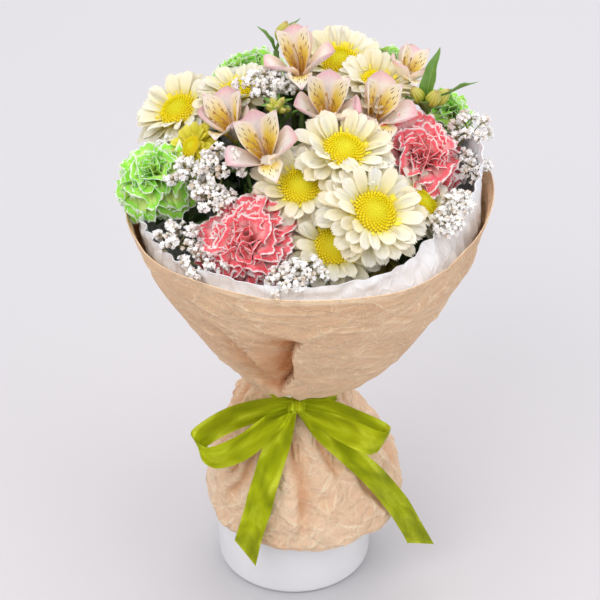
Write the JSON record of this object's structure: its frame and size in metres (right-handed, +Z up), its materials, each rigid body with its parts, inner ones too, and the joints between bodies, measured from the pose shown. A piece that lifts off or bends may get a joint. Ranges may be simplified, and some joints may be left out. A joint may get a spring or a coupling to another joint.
{
  "type": "mixed flower bouquet in a vase",
  "caption": "Hand-tied bouquet of cream, coral, green and pink-white flowers in a kraft paper wrap with a green satin bow, standing in a white cylindrical vase.",
  "frame": {"origin": "centre of the vase's foot, on the surface it stands on", "axes": "+Z up along the vase's axis, -Y towards the front, where the bow is tied, +X to the right of the bow"},
  "size_m": [0.2858, 0.2852, 0.4529],
  "materials": {
    "white_glaze": "gloss",
    "kraft": "matte",
    "white_tissue": "matte",
    "lime_satin": "satin",
    "string": "matte",
    "cream_petal": "matte",
    "coral_petal": "matte",
    "green_petal": "matte",
    "pink_petal": "matte",
    "sea_lavender_white": "matte",
    "leaf_green": "satin",
    "stem_green": "satin"
  },
  "bodies": {
    "root": {"alstroemeria_bud_sprig_1": "leaf_green", "alstroemeria_bud_sprig_2": "leaf_green", "alstroemeria_flower_1": "pink_petal", "alstroemeria_flower_2": "pink_petal", "alstroemeria_flower_3": "pink_petal", "alstroemeria_flower_4": "pink_petal", "alstroemeria_flower_5": "pink_petal", "alstroemeria_flower_6": "pink_petal", "alstroemeria_stem_1": "stem_green", "alstroemeria_stem_2": "stem_green", "alstroemeria_stem_3": "stem_green", "alstroemeria_stem_4": "stem_green", "chrysanthemum_head_1": "cream_petal", "chrysanthemum_head_10": "cream_petal", "chrysanthemum_head_11": "cream_petal", "chrysanthemum_head_12": "cream_petal", "chrysanthemum_head_2": "cream_petal", "chrysanthemum_head_3": "cream_petal", "chrysanthemum_head_4": "cream_petal", "chrysanthemum_head_5": "cream_petal", "chrysanthemum_head_6": "cream_petal", "chrysanthemum_head_7": "cream_petal", "chrysanthemum_head_8": "cream_petal", "chrysanthemum_head_9": "cream_petal", "chrysanthemum_stem_1": "stem_green", "chrysanthemum_stem_2": "stem_green", "chrysanthemum_stem_3": "stem_green", "chrysanthemum_stem_4": "stem_green", "chrysanthemum_stem_5": "stem_green", "chrysanthemum_stem_6": "stem_green", "coral_carnation_head_1": "coral_petal", "coral_carnation_head_2": "coral_petal", "coral_carnation_head_3": "coral_petal", "coral_carnation_stem_1": "stem_green", "coral_carnation_stem_2": "stem_green", "coral_carnation_stem_3": "stem_green", "green_carnation_head_1": "green_petal", "green_carnation_head_2": "green_petal", "green_carnation_head_3": "green_petal", "green_carnation_head_4": "green_petal", "green_carnation_stem_1": "stem_green", "green_carnation_stem_2": "stem_green", "green_carnation_stem_3": "stem_green", "green_carnation_stem_4": "stem_green", "kraft_collar": "kraft", "kraft_skirt": "kraft", "leafy_sprig_1": "leaf_green", "leafy_sprig_2": "leaf_green", "satin_ribbon": "lime_satin", "sea_lavender_sprig_1": "sea_lavender_white", "sea_lavender_sprig_2": "sea_lavender_white", "sea_lavender_sprig_3": "sea_lavender_white", "sea_lavender_sprig_4": "sea_lavender_white", "sea_lavender_sprig_5": "sea_lavender_white", "sea_lavender_sprig_6": "sea_lavender_white", "sea_lavender_sprig_7": "sea_lavender_white", "stem_binding": "string", "tissue_liner": "white_tissue", "vase": "white_glaze"}
  },
  "joints": []
}
